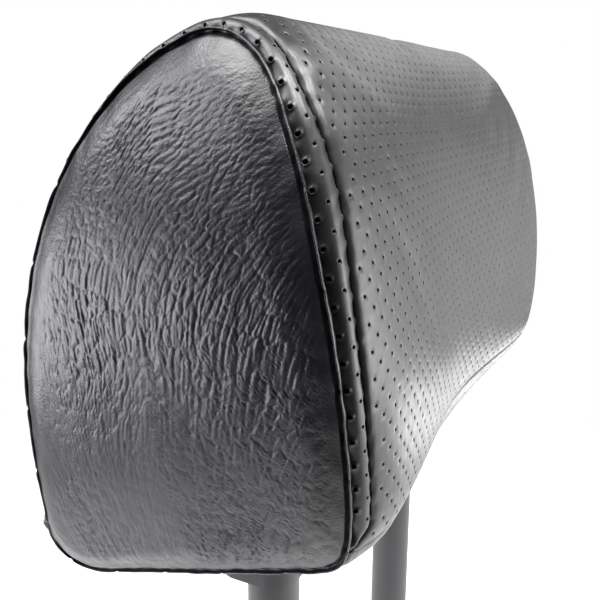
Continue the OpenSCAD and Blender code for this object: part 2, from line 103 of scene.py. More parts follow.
def outline_at(t):
    """Point of the side outline at t, which runs from 0 to N_CTL and repeats."""
    k = np.floor(t).astype(int)
    f = (t - k)[..., None]
    a, b, c, d = (OUTLINE[(k + i) % N_CTL] for i in (-1, 0, 1, 2))
    return 0.5 * (2 * b + (c - a) * f + (2 * a - 5 * b + 4 * c - d) * f ** 2
                  + (3 * b - a - 3 * c + d) * f ** 3)


def outward_at(t):
    """Unit vector out of the side outline at t."""
    near = 0.13
    d = outline_at(t + near) - outline_at(t - near)
    return np.stack([-d[..., 1], d[..., 0]], -1) / np.linalg.norm(d, axis=-1)[..., None]


def half_width(z):
    """Half the distance between the two side seams at height z."""
    up = TOP_TAPER * ((z - WIDEST_Z) / (OUTLINE_TOP - WIDEST_Z)) ** 2
    down = BOTTOM_TAPER * ((WIDEST_Z - z) / (WIDEST_Z - OUTLINE_BOTTOM)) ** 2
    return HALF_SEAM - np.where(z > WIDEST_Z, up, down)


def skin(t, u, depth=0.0):
    """Cushion surface: t round the outline, u from -1 to 1 across, depth inwards."""
    t, u, depth = np.broadcast_arrays(*(np.asarray(v, float) for v in (t, u, depth)))
    p, n = outline_at(t), outward_at(t)
    ny, nz = n[..., 0], n[..., 1]
    crown = np.where(ny > 0, REAR_CROWN, -FRONT_DISH) * ny ** 2
    crown = crown + np.where(nz > 0, TOP_CROWN, 0.0) * nz ** 2
    swell = EDGE_SWELL * np.where(nz < 0, 1 - UNDER_FLATTER * nz ** 2, 1.0)
    across = np.cos(np.pi / 2 * np.minimum(1, np.abs(u) / BOLSTER_U)) ** 2
    drop = np.maximum(0, (np.abs(u) - EDGE_U) / (1 - EDGE_U)) ** 2
    rise = swell * (1 - drop) + crown * across - depth
    x = u * (half_width(p[..., 1]) - depth)
    return np.stack([x, p[..., 0] + ny * rise, p[..., 1] + nz * rise], -1)


def side_skin(t, r, side, out=0.0):
    """Side panel: r is 1 at the seam and 0 in the middle, out is outwards."""
    t, r, out = np.broadcast_arrays(*(np.asarray(v, float) for v in (t, r, out)))
    p = outline_at(t)
    q = SIDE_MID + (p - SIDE_MID) * r[..., None]
    x = half_width(q[..., 1]) + SIDE_BULGE * (1 - r ** 3) + out
    return np.stack([side * x, q[..., 0], q[..., 1]], -1)


# b is the distance in mm round the cushion, measured between middle and seam, from t = 0
MEASURED_U = 0.6
T_STEPS = np.linspace(0, N_CTL, 2001)
MEASURED = np.diff(skin(T_STEPS, MEASURED_U), axis=0)
B_STEPS = np.concatenate([[0], np.cumsum(np.linalg.norm(MEASURED, axis=1))])


def t_at(b):
    return np.interp(b, B_STEPS, T_STEPS)


def b_at(t):
    return np.interp(t, T_STEPS, B_STEPS)


B_FRONT, B_REAR, B_END = b_at(T_FRONT), b_at(T_REAR), B_STEPS[-1]
FLARE_AT, FLARE_SPAN = 3.9, 0.9


def band_at(t):
    """Width of the strip between the two seams: narrow at its start, wider high on the front."""
    start = np.clip(0.15 + t / 0.5, 0, 1)
    return BAND * start + BAND_FLARE * np.exp(-((t - FLARE_AT) / FLARE_SPAN) ** 2)


def seam_x(t):
    """Distance from the middle to the seam between the wrap and its narrow strip."""
    return half_width(outline_at(t)[..., 1]) - band_at(t)


# ------------------------------------------------------------------ noise

# large odd numbers that scramble a grid point into a random-looking value
HASH_X, HASH_Y, HASH_SEED, HASH_MIX = 374761393, 668265263, 974634777, 1274126177


def hashed(ix, iy, seed):
    """Repeatable value from 0 to 1 for each grid point."""
    h = ix.astype(np.int64) * HASH_X + iy.astype(np.int64) * HASH_Y + seed * HASH_SEED
    h = (h ^ (h >> 13)) * HASH_MIX & 0xFFFFFFFF
    return ((h ^ (h >> 16)) & 0xFFFF) / 65535.0


def noise(x, y, seed=0):
    """Smooth value noise from -1 to 1."""
    ix, iy = np.floor(x), np.floor(y)
    fx, fy = x - ix, y - iy
    fx, fy = fx * fx * (3 - 2 * fx), fy * fy * (3 - 2 * fy)
    low = hashed(ix, iy, seed) * (1 - fx) + hashed(ix + 1, iy, seed) * fx
    high = hashed(ix, iy + 1, seed) * (1 - fx) + hashed(ix + 1, iy + 1, seed) * fx
    return 2 * (low * (1 - fy) + high * fy) - 1


def cell_edge(x, y, seed=0):
    """Distance from the border between scattered cells: 0 on the border."""
    far = 9.0
    ix, iy = np.floor(x), np.floor(y)
    first = np.full(x.shape, far)
    second = np.full(x.shape, far)
    for dx in (-1, 0, 1):
        for dy in (-1, 0, 1):
            cx, cy = ix + dx, iy + dy
            px = cx + 0.1 + 0.8 * hashed(cx, cy, seed)
            py = cy + 0.1 + 0.8 * hashed(cx, cy, seed + 7)
            d = np.hypot(x - px, y - py)
            second = np.minimum(second, np.maximum(first, d))
            first = np.minimum(first, d)
    return second - first


def step(lo, hi, v):
    """Smooth step: 0 at lo, 1 at hi."""
    f = np.clip((v - lo) / (hi - lo), 0, 1)
    return f * f * (3 - 2 * f)


# ------------------------------------------------------------------ materials

def principled(name, color, rough, **sockets):
    """New material and its shader; other sockets by name, with _ for a space."""
    mat = bpy.data.materials.new(name)
    mat.use_nodes = True
    bsdf = mat.node_tree.nodes["Principled BSDF"]
    bsdf.inputs["Base Color"].default_value = (*color, 1)
    bsdf.inputs["Roughness"].default_value = rough
    for key, value in sockets.items():
        bsdf.inputs[key.replace("_", " ")].default_value = value
    return mat, bsdf


class Graph:
    """Small helper to wire a material's nodes."""

    def __init__(self, mat, bsdf):
        self.tree, self.bsdf = mat.node_tree, bsdf
        self.coord = self.node("ShaderNodeTexCoord").outputs["Object"]

    def node(self, kind, **values):
        n = self.tree.nodes.new(kind)
        for key, value in values.items():
            if key in n.inputs:
                n.inputs[key].default_value = value
            else:
                setattr(n, key, value)
        return n

    def link(self, a, b):
        self.tree.links.new(a, b)

    def scaled(self, scale):
        n = self.node("ShaderNodeMapping")
        n.inputs["Scale"].default_value = scale
        self.link(self.coord, n.inputs["Vector"])
        return n.outputs["Vector"]

    def noise(self, scale, detail=3.0, vector=None):
        n = self.node("ShaderNodeTexNoise", Scale=scale, Detail=detail)
        self.link(vector or self.coord, n.inputs["Vector"])
        return n.outputs["Fac"]

    def cells(self, scale):
        n = self.node("ShaderNodeTexVoronoi", feature="DISTANCE_TO_EDGE")
        n.inputs["Scale"].default_value = scale
        self.link(self.coord, n.inputs["Vector"])
        return n.outputs["Distance"]

    def ramp(self, value, lo, hi, low, high):
        """Value from lo to hi becomes low to high, and stays between them."""
        n = self.node("ShaderNodeMapRange", clamp=True)
        for key, v in zip(("From Min", "From Max", "To Min", "To Max"), (lo, hi, low, high)):
            n.inputs[key].default_value = v
        self.link(value, n.inputs["Value"])
        return n.outputs["Result"]

    def mix_color(self, value, a, b):
        n = self.node("ShaderNodeMix", data_type="RGBA")
        n.inputs["A"].default_value = (*a, 1)
        n.inputs["B"].default_value = (*b, 1)
        self.link(value, n.inputs["Factor"])
        return n.outputs["Result"]

    def bump(self, heights):
        """Chains (value, strength, distance in metres) bumps into the shader's normal."""
        last = None
        for value, strength, distance in heights:
            n = self.node("ShaderNodeBump")
            n.inputs["Strength"].default_value = strength
            n.inputs["Distance"].default_value = distance
            self.link(value, n.inputs["Height"])
            if last:
                self.link(last, n.inputs["Normal"])
            last = n.outputs["Normal"]
        self.link(last, self.bsdf.inputs["Normal"])


def leather(name, low, high, rough, grain_mm, depth_mm, coat=0.0):
    """Pigmented leather: uneven colour, uneven gloss, and a cellular grain."""
    mat, bsdf = principled(name, low, rough, Coat_Weight=coat, Coat_Roughness=0.25)
    g = Graph(mat, bsdf)
    g.link(g.mix_color(g.ramp(g.noise(90, 4), 0.35, 0.65, 0, 1), low, high),
           bsdf.inputs["Base Color"])
    g.link(g.ramp(g.noise(260, 3), 0.3, 0.7, rough - 0.04, rough + 0.05),
           bsdf.inputs["Roughness"])
    grain = g.ramp(g.cells(1000 / grain_mm), 0.0, 0.22, 0, 1)
    pores = g.noise(1000 / (grain_mm * 0.45), 4)
    g.bump([(grain, 0.6, depth_mm * MM), (pores, 0.5, depth_mm * MM)])
    return mat


def plastic(name, color, rough, texture_mm=0.35, depth_mm=0.02):
    """Moulded surface with a fine texture and a little uneven colour and gloss."""
    mat, bsdf = principled(name, color, rough)
    g = Graph(mat, bsdf)
    g.link(g.ramp(g.noise(120, 3), 0.3, 0.7, rough - 0.05, rough + 0.07), bsdf.inputs["Roughness"])
    lighter = tuple(1.25 * c + 0.004 for c in color)
    g.link(g.mix_color(g.noise(60, 3), color, lighter), bsdf.inputs["Base Color"])
    g.bump([(g.noise(1000 / texture_mm, 2), 0.5, depth_mm * MM)])
    return mat


def metal(name, color, rough, streak=(40, 40, 900), depth_mm=0.004):
    """Metal with fine marks; streak is their scale along x, y and z."""
    mat, bsdf = principled(name, color, rough, Metallic=1.0)
    g = Graph(mat, bsdf)
    brushed = g.noise(1.0, 3, g.scaled(streak))
    g.link(g.ramp(brushed, 0.3, 0.7, max(0.03, rough - 0.05), rough + 0.08),
           bsdf.inputs["Roughness"])
    g.link(g.mix_color(g.noise(45, 2), color, tuple(0.9 * c for c in color)),
           bsdf.inputs["Base Color"])
    g.bump([(brushed, 0.4, depth_mm * MM)])
    return mat


NAPPA = leather("nappa_black", (0.006, 0.006, 0.0065), (0.010, 0.010, 0.011), 0.40, 0.9, 0.012)
GRAIN = leather("grain_black", (0.005, 0.005, 0.007), (0.010, 0.010, 0.013), 0.37, 1.1, 0.05)
HOLE, hole_shader = principled("punched_hole", (0.004, 0.004, 0.004), 0.9)
hole_graph = Graph(HOLE, hole_shader)
hole_graph.bump([(hole_graph.noise(2500, 2), 0.6, 0.05 * MM)])
THREAD = plastic("bonded_thread", (0.006, 0.006, 0.007), 0.62, 0.25, 0.05)
FOAM = plastic("moulded_foam", (0.62, 0.55, 0.36), 0.9, 0.9, 0.25)
SLEEVE = plastic("sleeve_plastic", (0.018, 0.018, 0.020), 0.45)
BUTTON = plastic("button_plastic", (0.024, 0.024, 0.027), 0.35, 0.5, 0.015)
BEZEL = plastic("bezel_plastic", (0.015, 0.015, 0.017), 0.5)
PLUG = plastic("plug_plastic", (0.02, 0.02, 0.022), 0.55)
CARRIER = plastic("carrier_plastic", (0.05, 0.05, 0.055), 0.55, 0.6, 0.03)
STRIP = plastic("strip_plastic", (0.07, 0.07, 0.075), 0.4)
ACETAL = plastic("acetal", (0.62, 0.61, 0.57), 0.35)
CHROME = metal("chrome_plate", (0.78, 0.79, 0.81), 0.09, (60, 60, 60), 0.0015)
SPRING = metal("spring_steel", (0.52, 0.53, 0.55), 0.28)
STEEL = metal("plain_steel", (0.36, 0.36, 0.37), 0.42)
ZINC = metal("zinc_plate", (0.58, 0.59, 0.60), 0.30)

NODE_MATERIALS = {
    "guide_sleeve_plain": SLEEVE, "guide_sleeve_locking": SLEEVE, "sleeve_cap": SLEEVE,
    "lock_wire": SPRING, "release_button": BUTTON, "post_frame": CHROME, "post_plugs": PLUG,
    "stop_tab": STEEL, "pivot_bush_left": ACETAL, "pivot_bush_right": ACETAL,
    "friction_clip_left": SPRING, "friction_clip_right": SPRING, "carrier_rear": CARRIER,
    "carrier_front": CARRIER, "carrier_screws": ZINC, "clip_screws": ZINC,
    "post_bezels": BEZEL, "closure_hook_wrap": STRIP, "closure_hook_panel": STRIP,
}
for node_name, node_material in NODE_MATERIALS.items():
    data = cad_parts[node_name].data
    data.materials.clear()
    data.materials.append(node_material)

# ------------------------------------------------------------------ lock spring

def lock_spring():
    """The lock wire, copied into an object of its own in place of the CAD part."""
    wire = bpy.data.objects.new("lock_spring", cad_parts["lock_wire"].data.copy())
    bpy.context.scene.collection.objects.link(wire)
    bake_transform(wire)
    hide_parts("lock_wire")


lock_spring()

# ------------------------------------------------------------------ mesh helpers

def add_mesh(name, points_mm, faces, materials, slots=None):
    """New object in the scene from points in mm; slots gives each face its material."""
    mesh = bpy.data.meshes.new(name)
    mesh.from_pydata((np.asarray(points_mm) * MM).tolist(), [], faces)
    for mat in materials:
        mesh.materials.append(mat)
    if slots is not None:
        mesh.polygons.foreach_set("material_index", slots)
    mesh.polygons.foreach_set("use_smooth", [True] * len(mesh.polygons))
    mesh.update()
    mesh.validate()
    obj = bpy.data.objects.new(name, mesh)
    bpy.context.scene.collection.objects.link(obj)
    return obj


def grid_faces(rows, cols, closed=False):
    """Faces of a grid of points, row by row; closed joins the last column to the first."""
    faces = []
    last = cols if closed else cols - 1
    for i in range(rows - 1):
        for j in range(last):
            k = (j + 1) % cols
            a, b = i * cols, (i + 1) * cols
            faces.append((a + j, a + k, b + k, b + j))
    return faces


def grid_border(rows, cols):
    """Points once round the border of a grid."""
    return ([j for j in range(cols)]
            + [i * cols + cols - 1 for i in range(1, rows)]
            + [(rows - 1) * cols + j for j in range(cols - 2, -1, -1)]
            + [i * cols for i in range(rows - 2, 0, -1)])


def join_rings(faces, outer, inner):
    """Adds the faces between two closed rings of the same number of points."""
    for i in range(len(outer)):
        k = (i + 1) % len(outer)
        faces.append((outer[i], outer[k], inner[k], inner[i]))


def finish_piece(obj, node):
    """The piece rides the cushion and stands for its CAD node."""
    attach(obj, CUSHION)
    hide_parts(node)


CENTRE = Vector((0, 5, 100)) * MM


def recalc(obj):
    """Makes the faces agree and point away from the cushion's middle."""
    bm = bmesh.new()
    bm.from_mesh(obj.data)
    bmesh.ops.remove_doubles(bm, verts=bm.verts, dist=1e-6)
    bmesh.ops.recalc_face_normals(bm, faces=bm.faces)
    balance = sum((f.calc_center_median() - CENTRE).dot(f.normal) * f.calc_area() for f in bm.faces)
    if balance < 0:
        bmesh.ops.reverse_faces(bm, faces=bm.faces)
    bm.to_mesh(obj.data)
    bm.free()


# ------------------------------------------------------------------ foam under tension

SHRINK = 3.0
VOXEL = 4.5 * MM
HOLD_REACH = 4.0 * MM
PRESSURE = 4
FRAMES = 20
CAP = 6.0 * MM
FIELD_LIMIT = 2.0
BROAD = 60
STITCH_PULL = 19.0


def blurred(values, passes):
    """Values over (t, v) averaged with their neighbours; t runs round and repeats."""
    for _ in range(passes):
        wide = np.pad(np.pad(values, ((1, 1), (0, 0)), "wrap"), ((0, 0), (1, 1)), "edge")
        values = (4 * values + wide[2:, 1:-1] + wide[:-2, 1:-1]
                  + wide[1:-1, 2:] + wide[1:-1, :-2]) / 8
    return values


class Field:
    """Smooth table of numbers over (t round the outline, v), read between its points."""

    def __init__(self, values, v0, v1):
        self.values, self.v0, self.v1 = blurred(values, 2), v0, v1

    def __call__(self, t, v):
        rows, cols = self.values.shape
        i = (np.asarray(t) / N_CTL % 1.0) * rows
        j = np.clip((v - self.v0) / (self.v1 - self.v0), 0, 1) * (cols - 1)
        i0, j0 = np.floor(i).astype(int), np.minimum(np.floor(j).astype(int), cols - 2)
        fi, fj = i - i0, j - j0
        i0, i1 = i0 % rows, (i0 + 1) % rows
        near = self.values[i0, j0] * (1 - fj) + self.values[i0, j0 + 1] * fj
        far = self.values[i1, j0] * (1 - fj) + self.values[i1, j0 + 1] * fj
        return near * (1 - fi) + far * fi


def cushion_blank():
    """Closed form a little smaller than the cushion, for the cloth to swell from."""
    t = np.linspace(0, N_CTL, 6 * N_CTL, endpoint=False)
    side_rings = (0.92, 0.8, 0.66, 0.5, 0.34, 0.18)
    rings = [side_skin(t, r, -1, -SHRINK) for r in side_rings[::-1]]
    rings += [skin(t, u, SHRINK) for u in np.linspace(-1, 1, 49)]
    rings += [side_skin(t, r, 1, -SHRINK) for r in side_rings]
    points = np.concatenate(rings)
    faces = grid_faces(len(rings), len(t), closed=True)
    last = len(points) - len(t)
    faces.append(tuple(range(len(t))))
    faces.append(tuple(range(last, last + len(t)))[::-1])
    return add_mesh("foam_body", points, faces, [FOAM])


def apply_modifiers(obj):
    """Turns the object's modifiers into its mesh."""
    graph = bpy.context.evaluated_depsgraph_get()
    mesh = bpy.data.meshes.new_from_object(obj.evaluated_get(graph))
    obj.modifiers.clear()
    old, obj.data = obj.data, mesh
    bpy.data.meshes.remove(old)


def coordinates(mesh):
    """All points of a mesh as rows of x, y, z."""
    co = np.empty(len(mesh.vertices) * 3)
    mesh.vertices.foreach_get("co", co)
    return co.reshape(-1, 3)


def sewn_points():
    """Where the seams and the fixed underside hold the cover down, in metres."""
    t_rim = t_at(np.arange(0, B_END, 3.0))
    t_inner = t_at(np.arange(B_FRONT, B_REAR, STITCH_PULL))
    held = []
    for side in (-1, 1):
        held.append(skin(t_rim, float(side), SHRINK))
        width = half_width(outline_at(t_inner)[..., 1])
        held.append(skin(t_inner, side * seam_x(t_inner) / width, SHRINK))
    for corner in (T_FRONT, T_REAR):
        held.append(skin(np.full(60, corner), np.linspace(-1, 1, 60), SHRINK))
    return np.concatenate(held) * MM


def swell(obj):
    """Blows the blank up like the cover over its foam, held down along the seams."""
    remesh = obj.modifiers.new("remesh", "REMESH")
    remesh.mode = "VOXEL"
    remesh.voxel_size = VOXEL
    apply_modifiers(obj)
    start = coordinates(obj.data)
    sewn = sewn_points()
    tree = KDTree(len(sewn))
    for i, point in enumerate(sewn):
        tree.insert(point, i)
    tree.balance()
    held = [i for i, co in enumerate(start) if tree.find(co)[2] < HOLD_REACH]
    obj.vertex_groups.new(name="held").add(held, 1.0, "REPLACE")
    cloth = obj.modifiers.new("cloth", "CLOTH")
    cloth.settings.quality = 5
    cloth.settings.mass = 0.3
    cloth.settings.tension_stiffness = 12
    cloth.settings.compression_stiffness = 12
    cloth.settings.shear_stiffness = 4
    cloth.settings.bending_stiffness = 0.4
    cloth.settings.use_pressure = True
    cloth.settings.uniform_pressure_force = PRESSURE
    cloth.settings.vertex_group_mass = "held"
    cloth.settings.effector_weights.gravity = 0
    cloth.collision_settings.use_collision = False
    cloth.point_cache.frame_start, cloth.point_cache.frame_end = 1, FRAMES
    for number in range(1, FRAMES + 1):
        bpy.context.scene.frame_set(number)
    apply_modifiers(obj)
    bpy.context.scene.frame_set(1)
    moved = coordinates(obj.data) - start
    length = np.linalg.norm(moved, axis=1)[:, None]
    moved *= np.minimum(1, CAP / np.maximum(length, 1e-9))
    obj.data.vertices.foreach_set("co", (start + moved).ravel())
    obj.data.update()


def height_field(tree, t, v, points, normals):
    """How unevenly the swollen form stands above points of the plain one, in mm."""
    reach = 20.0
    flat = (points + normals * reach).reshape(-1, 3) * MM
    down = -normals.reshape(-1, 3)
    above = np.zeros(len(flat))
    for i, (origin, direction) in enumerate(zip(flat, down)):
        hit = tree.ray_cast(Vector(origin), Vector(direction), 2.5 * reach * MM)
        above[i] = np.nan if hit[0] is None else reach - hit[3] / MM
    above = np.nan_to_num(above, nan=float(np.nanmedian(above))).reshape(points.shape[:2])
    # the overall size and crown stay the design's own, so only the unevenness is kept
    above = np.clip(above - blurred(above, BROAD), -FIELD_LIMIT, FIELD_LIMIT)
    return Field(above, v[0], v[-1])


def swollen_rises(swollen):
    """Height fields of the swollen form: over the wrap, and over each side panel."""
    surface = BVHTree.FromPolygons([v.co for v in swollen.data.vertices],
                                   [p.vertices for p in swollen.data.polygons])
    t_grid = np.linspace(0, N_CTL, 7 * N_CTL, endpoint=False)
    u_grid = np.linspace(-0.985, 0.985, 81)
    t, u = np.meshgrid(t_grid, u_grid, indexing="ij")
    out = outward_at(t)
    out = np.stack([np.zeros_like(t), out[..., 0], out[..., 1]], -1)
    over_wrap = height_field(surface, t_grid, u_grid, skin(t, u), out)
    r_grid = np.linspace(0.02, 0.98, 30)
    t, r = np.meshgrid(t_grid, r_grid, indexing="ij")
    over_sides = {}
    for side in (-1, 1):
        sideways = np.zeros((*t.shape, 3))
        sideways[..., 0] = side
        over_sides[side] = height_field(surface, t_grid, r_grid, side_skin(t, r, side), sideways)
    return over_wrap, over_sides


foam = cushion_blank()
swell(foam)
WRAP_RISE, SIDE_RISE = swollen_rises(foam)

# ------------------------------------------------------------------ perforated leather

# holes of one row are PITCH apart, and the rows are staggered: neighbours are 5.1 mm apart
PITCH = 7.2
CELL = PITCH / 4
HOLE_R = 0.51
HOLE_RIM = 0.22
HOLE_DEPTH = 1.3
EDGE_HOLE_R, EDGE_HOLE_LIFT = 0.60, 0.18
SEAM_GAP = 0.55
# distance between the pulls of a seam, with two stitches to each
STITCH = 6.4
# an edge turned into a seam, as (left of the gap, depth)
ROLL = [(0.30, 0.2), (0.12, 0.7), (0.02, 2.0)]
# the eight grid points round a hole, and the angle of each
AROUND = ((-1, -1), (0, -1), (1, -1), (1, 0), (1, 1), (0, 1), (-1, 1), (-1, 0))
RIM_T = np.radians(np.array([-135, -90, -45, 0, 45, 90, 135, 180]))
SEAM_GROOVE, SEAM_GROOVE_SPAN = 0.65, 0.85
SEAM_HOLLOW, SEAM_HOLLOW_SPAN = 0.14, 4.0
STRIP_PUFF = 0.9
RIM_DIP, RIM_DIP_SPAN = 1.1, 1.6


def pulled(b, seed):
    """How hard the stitches pull the leather down at b: 1 on average."""
    near = b + 0.8 * noise(b / 17, 0 * b, seed + 5)
    return 1 + 0.3 * noise(b / 9, 0 * b, seed) + 0.45 * np.cos(2 * np.pi * near / STITCH)


def wrap_depth(x, b):
    """Inward relief of the wrap and its strips, in mm."""
    t = t_at(b)
    width = half_width(outline_at(t)[..., 1])
    edge_fade = step(0, 5, b) * step(0, 5, B_REAR - b)
    depth = -WRAP_RISE(t, x / width) * edge_fade
    depth = depth - 0.10 * noise(x / 26, b / 22, 3) - 0.05 * noise(x / 9, b / 11, 4)
    from_seam = np.abs(x) - (width - band_at(t))
    groove = np.exp(-(np.abs(from_seam) / SEAM_GROOVE_SPAN) ** 2) * pulled(b, 11)
    hollow = np.exp(-(np.abs(from_seam) / SEAM_HOLLOW_SPAN) ** 2) * (1 + noise(b / 12, 0 * b, 12))
    depth = depth + SEAM_GROOVE * groove
    depth = depth + SEAM_HOLLOW * hollow
    share = np.clip(from_seam / np.maximum(band_at(t), 1), 0, 1)
    puff = np.sin(np.pi * share) ** 0.8 * (1 + 0.15 * noise(b / 14, 0 * b, 15))
    depth = depth - STRIP_PUFF * puff
    from_rim = np.maximum(width - np.abs(x), 0)
    return depth + RIM_DIP * np.exp(-(from_rim / RIM_DIP_SPAN) ** 2) * pulled(b, 13)


def leather_point(x, b, extra=0.0):
    """Point of the wrap at x and b, sunk by extra."""
    t = t_at(b)
    return skin(t, x / half_width(outline_at(t)[..., 1]), wrap_depth(x, b) + extra)


class Patch:
    """Leather mesh that grows point by point, in (x, b) on the wrap."""

    def __init__(self):
        self.x, self.b, self.extra = [], [], []
        self.faces, self.slots = [], []

    def point(self, x, b, extra=0.0):
        self.x.append(x)
        self.b.append(b)
        self.extra.append(extra)
        return len(self.x) - 1

    def face(self, *corners, slot=0):
        self.faces.append(corners)
        self.slots.append(slot)

    def hole(self, x, b, around, radius=HOLE_R, lift=0.0):
        """Punched hole inside a ring of eight points: a soft rim, a wall and a dark floor."""
        outer = around
        levels = ((radius + HOLE_RIM, -lift, 0), (radius, 0.12, 0), (radius * 0.9, HOLE_DEPTH, 1))
        for size, depth, slot in levels:
            inner = [self.point(x + size * c, b + size * s, depth)
                     for c, s in zip(np.cos(RIM_T), np.sin(RIM_T))]
            for q in range(8):
                w = (q + 1) % 8
                self.face(outer[q], outer[w], inner[w], inner[q], slot=slot)
            outer = inner
        self.face(*outer, slot=1)

    def roll_edge(self, chain, dx, db):
        """Turns an edge down into a seam; dx, db point across the seam."""
        x0 = [self.x[i] for i in chain]
        b0 = [self.b[i] for i in chain]
        previous = chain
        for away, depth in ROLL:
            reach = SEAM_GAP - away
            current = [self.point(x + dx * reach, b + db * reach, depth) for x, b in zip(x0, b0)]
            for i in range(len(chain) - 1):
                self.face(previous[i], previous[i + 1], current[i + 1], current[i])
            previous = current

    def build(self, name):
        used = sorted({v for f in self.faces for v in f})
        place = {v: i for i, v in enumerate(used)}
        x, b, extra = (np.array(v)[used] for v in (self.x, self.b, self.extra))
        faces = [tuple(place[v] for v in f) for f in self.faces]
        obj = add_mesh(name, leather_point(x, b, extra), faces, [NAPPA, HOLE], self.slots)
        recalc(obj)
        return obj


def leather_rows(spacing):
    """Numbers and places b of the rows of points; the first and last lie at the edges."""
    rows = np.arange(math.ceil((B_FRONT + 1) / spacing), math.floor((B_REAR - 1) / spacing) + 1)
    b_rows = rows * spacing
    b_rows[0] = B_FRONT + SEAM_GAP
    b_rows[-1] = B_REAR - SEAM_GAP
    return rows, b_rows


def wrap_patch():
    """The wide perforated panel, on a grid of a quarter of the hole pitch."""
    patch = Patch()
    rows, b_rows = leather_rows(CELL)
    limit = seam_x(t_at(b_rows)) - SEAM_GAP
    reach = {r: int(round(e / CELL)) for r, e in zip(rows, limit)}
    at = {}
    for r, b, edge in zip(rows, b_rows, limit):
        for k in range(-reach[r], reach[r] + 1):
            x = k * CELL if abs(k) < reach[r] else math.copysign(edge, k)
            at[(k, r)] = patch.point(x, b)
    taken = set()
    for k, r in at:
        ring = [(k + a, r + c) for a, c in AROUND]
        open_here = k % 2 == 0 and r % 2 == 0 and (k + r) // 2 % 2 == 0
        if open_here and all(q in at and abs(q[0]) < reach[q[1]] for q in ring):
            patch.hole(k * CELL, r * CELL, [at[q] for q in ring])
            taken.update(((k - 1, r - 1), (k, r - 1), (k, r), (k - 1, r)))
    for k, r in at:
        corners = [at.get(q) for q in ((k, r), (k + 1, r), (k + 1, r + 1), (k, r + 1))]
        if (k, r) not in taken and None not in corners:
            patch.face(*corners)
    for r in rows[:-1]:
        # the edge column steps by one cell where the seam slants
        for sign in (-1, 1):
            low, high = sign * reach[r], sign * reach[r + 1]
            if abs(low) == abs(high):
                continue
            short, tall = (r, r + 1) if abs(low) < abs(high) else (r + 1, r)
            k = sign * min(abs(low), abs(high))
            while abs(k) < max(abs(low), abs(high)):
                patch.face(at[(k, tall)], at[(k + sign, tall)], at[(sign * reach[short], short)])
                k += sign
    for sign in (-1, 1):
        patch.roll_edge([at[(sign * reach[r], r)] for r in rows], sign, 0)
    for r, sign in ((rows[0], -1), (rows[-1], 1)):
        patch.roll_edge([at[(k, r)] for k in range(-reach[r], reach[r] + 1)], 0, sign)
    return patch.build("wrap_leather")


def strip_patch(side):
    """Narrow strip between the two seams, with two staggered rows of holes."""
    patch = Patch()
    rows, b_rows = leather_rows(CELL / 2)
    width = band_at(t_at(b_rows))
    rim = half_width(outline_at(t_at(b_rows))[..., 1])
    # columns of points from the side seam inwards: three for each row of holes
    edge_hole, inner_hole, ring_half = 2.35, 5.95, 0.9
    fixed = [SEAM_GAP, edge_hole - ring_half, edge_hole, edge_hole + ring_half,
             (edge_hole + inner_hole) / 2,
             inner_hole - ring_half, inner_hole, inner_hole + ring_half]
    edge_column, inner_column = fixed.index(edge_hole), fixed.index(inner_hole)
    at = {}
    for i, b in enumerate(b_rows):
        full = np.array(fixed + [max(BAND, width[i]) - SEAM_GAP])
        across = full * (width[i] / max(BAND, width[i]))
        margin = min(SEAM_GAP, 0.3 * width[i])
        across[0] = margin
        across[-1] = width[i] - margin
        for k, w in enumerate(across):
            at[(k, i)] = patch.point(side * (rim[i] - w), b)
    count = len(fixed) + 1
    taken = set()
    hole_rows = ((edge_column, 0, EDGE_HOLE_R, EDGE_HOLE_LIFT), (inner_column, 4, HOLE_R, 0.0))
    for i in range(2, len(rows) - 2):
        for k, offset, radius, lift in hole_rows:
            if (rows[i] - offset) % 8 or width[i] < 0.95 * BAND:
                continue
            ring = [at[(k + a, i + c)] for a, c in AROUND]
            x, b = patch.x[at[(k, i)]], patch.b[at[(k, i)]]
            if side > 0:
                # columns run towards -x here, so the ring is read the other way round
                ring = [ring[q] for q in (2, 1, 0, 7, 6, 5, 4, 3)]
            patch.hole(x, b, ring, radius, lift)
            taken.update(((k - 1, i - 1), (k, i - 1), (k, i), (k - 1, i)))
    for i in range(len(rows) - 1):
        for k in range(count - 1):
            if (k, i) not in taken:
                patch.face(at[(k, i)], at[(k + 1, i)], at[(k + 1, i + 1)], at[(k, i + 1)])
    for k, sign in ((0, side), (count - 1, -side)):
        patch.roll_edge([at[(k, i)] for i in range(len(rows))], sign, 0)
    for i, sign in ((0, -1), (len(rows) - 1, 1)):
        patch.roll_edge([at[(k, i)] for k in range(count)], 0, sign)
    return patch.build("seam_strip_right" if side > 0 else "seam_strip_left")


finish_piece(wrap_patch(), "wrap_panel")
finish_piece(strip_patch(1), "seam_band_right")
finish_piece(strip_patch(-1), "seam_band_left")

# ------------------------------------------------------------------ topstitching

THREAD_R = 0.28
THREAD_SINK, THREAD_END_DIP = 0.25, 1.5
STITCH_LENGTH = 0.806 * STITCH / 2
STITCH_LEAN = 0.24
FIRST_STITCH = 6


